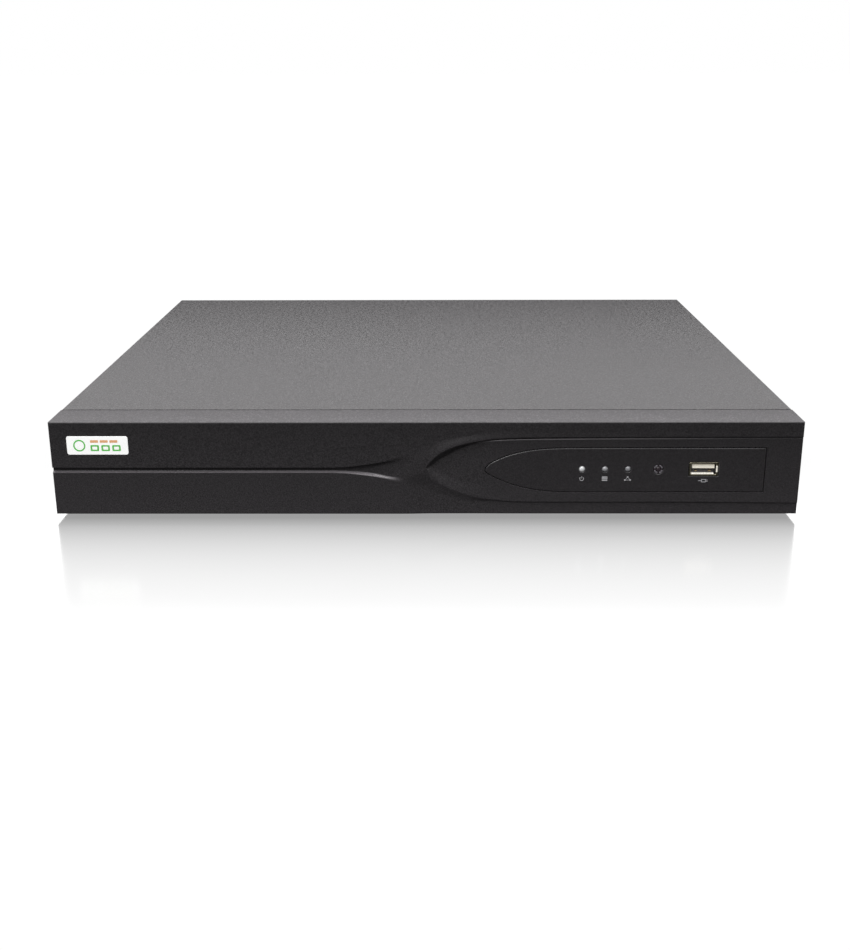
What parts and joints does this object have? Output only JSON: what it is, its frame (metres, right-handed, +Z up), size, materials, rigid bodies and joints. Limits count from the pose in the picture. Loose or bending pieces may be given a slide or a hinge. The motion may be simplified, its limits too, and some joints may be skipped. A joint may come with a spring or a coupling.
{
  "type": "network video recorder",
  "caption": "Low desktop video recorder: charcoal steel case, moulded front with a leaf-shaped indicator panel, status lamps and a front data port, lift-off cover over drives and board.",
  "frame": {"origin": "centre of the footprint on the plane the feet rest on", "axes": "+X to the right seen from the front, -Y is the front, +Z up"},
  "size_m": [0.382, 0.3506, 0.052],
  "materials": {
    "cover_paint": "fine speckled powder coat",
    "tray_paint": "satin powder coat",
    "bezel_plastic": "fine spark texture",
    "panel_plastic": "fine spark texture",
    "badge_white": "printed film",
    "lens_white": "milky, translucent",
    "ir_lens": "dark red tint, polished",
    "ir_body": "moulded epoxy",
    "port_nickel": "bright nickel",
    "port_ivory": "moulded",
    "port_black": "moulded",
    "port_blue": "moulded",
    "gold_contact": "gold plated",
    "circuit_board": "solder mask",
    "chip_black": "moulded epoxy",
    "capacitor_can": "drawn",
    "heatsink_black": "anodised",
    "cell_steel": "stamped",
    "header_white": "moulded nylon",
    "zinc_screw": "zinc plated",
    "black_screw": "black oxide",
    "brass_part": "nickel-brass",
    "drive_casting": "cast and e-coated",
    "drive_lid": "brushed, stamped",
    "platter": "polished",
    "arm_alloy": "machined",
    "rubber_black": "moulded",
    "cable_red": "extruded PVC",
    "cable_black": "extruded PVC",
    "cable_grey": "extruded PVC",
    "terminal_green": "moulded",
    "fan_black": "moulded",
    "motor_copper": "enamelled wire",
    "switch_black": "moulded"
  },
  "bodies": {
    "chassis": {"chassis_tray": "tray_paint", "cover_screws": "black_screw", "front_bezel": "bezel_plastic", "indicator_panel": "panel_plastic", "badge_plate": "badge_white", "power_light_pipe": "lens_white", "disk_light_pipe": "lens_white", "network_light_pipe": "lens_white", "ir_window": "ir_lens", "ir_receiver": "ir_body", "front_usb_shell": "port_nickel", "front_usb_tongue": "port_ivory", "front_board": "circuit_board", "rubber_feet": "rubber_black", "drive_boards": "circuit_board", "drive_screws": "zinc_screw", "main_board": "circuit_board", "board_standoffs": "brass_part", "board_screws": "zinc_screw", "heatsink": "heatsink_black", "board_components": "chip_black", "board_capacitors": "capacitor_can", "coin_cell_holder": "port_black", "coin_cell": "cell_steel", "board_headers": "header_white", "lan_port_shields": "port_nickel", "lan_port_inserts": "port_black", "digital_video_port_shell": "port_nickel", "rear_usb_shell": "port_nickel", "rear_port_tongues": "port_black", "analogue_video_port_shell": "port_nickel", "analogue_video_port_insert": "port_blue", "video_port_jackscrews": "zinc_screw", "audio_jack_barrels": "port_nickel", "audio_jack_bodies": "header_white", "terminal_header": "terminal_green", "dc_jack_body": "port_black", "connector_contacts": "gold_contact", "ground_screw": "zinc_screw", "switch_housing": "switch_black", "fan_frame": "fan_black", "fan_motor": "motor_copper", "fan_screws": "black_screw", "drive_data_cables": "cable_red", "drive_power_cables": "cable_black", "front_ribbon_cable": "cable_grey", "power_wires": "cable_black", "left_drive_case": "drive_casting", "left_drive_lid": "drive_lid", "right_drive_case": "drive_casting", "right_drive_lid": "drive_lid"},
    "cover": {"top_cover": "cover_paint"},
    "rocker": {"switch_rocker": "switch_black"},
    "terminal_plug": {"terminal_plug": "terminal_green", "terminal_plug_screws": "zinc_screw"},
    "fan_rotor": {"fan_rotor": "fan_black"},
    "left_platters": {"left_drive_platters": "platter"},
    "left_arm": {"left_drive_arm": "arm_alloy"},
    "right_platters": {"right_drive_platters": "platter"},
    "right_arm": {"right_drive_arm": "arm_alloy"}
  },
  "joints": [
    {"name": "cover_lift", "type": "slide", "parent": "chassis", "child": "cover", "axis": [0, 0, 1], "range_m": [0, 0.08]},
    {"name": "rocker_tilt", "type": "hinge", "parent": "chassis", "child": "rocker", "pos_m": [0.152, 0.1638, 0.0275], "axis": [1, 0, 0], "range_deg": [0, 26]},
    {"name": "terminal_plug_pull", "type": "slide", "parent": "chassis", "child": "terminal_plug", "axis": [0, 1, 0], "range_m": [0, 0.012]},
    {"name": "fan_spin", "type": "hinge", "parent": "chassis", "child": "fan_rotor", "pos_m": [-0.16, 0.158, 0.0242], "axis": [0, 1, 0], "continuous": true},
    {"name": "left_platter_spin", "type": "hinge", "parent": "chassis", "child": "left_platters", "pos_m": [-0.125, -0.087, 0.02], "axis": [0, 0, 1], "continuous": true},
    {"name": "left_arm_swing", "type": "hinge", "parent": "chassis", "child": "left_arm", "pos_m": [-0.105, -0.031, 0.022], "axis": [0, 0, 1], "range_deg": [0, 36]},
    {"name": "right_platter_spin", "type": "hinge", "parent": "chassis", "child": "right_platters", "pos_m": [-0.01, -0.087, 0.02], "axis": [0, 0, 1], "continuous": true},
    {"name": "right_arm_swing", "type": "hinge", "parent": "chassis", "child": "right_arm", "pos_m": [0.01, -0.031, 0.022], "axis": [0, 0, 1], "range_deg": [0, 36]}
  ]
}
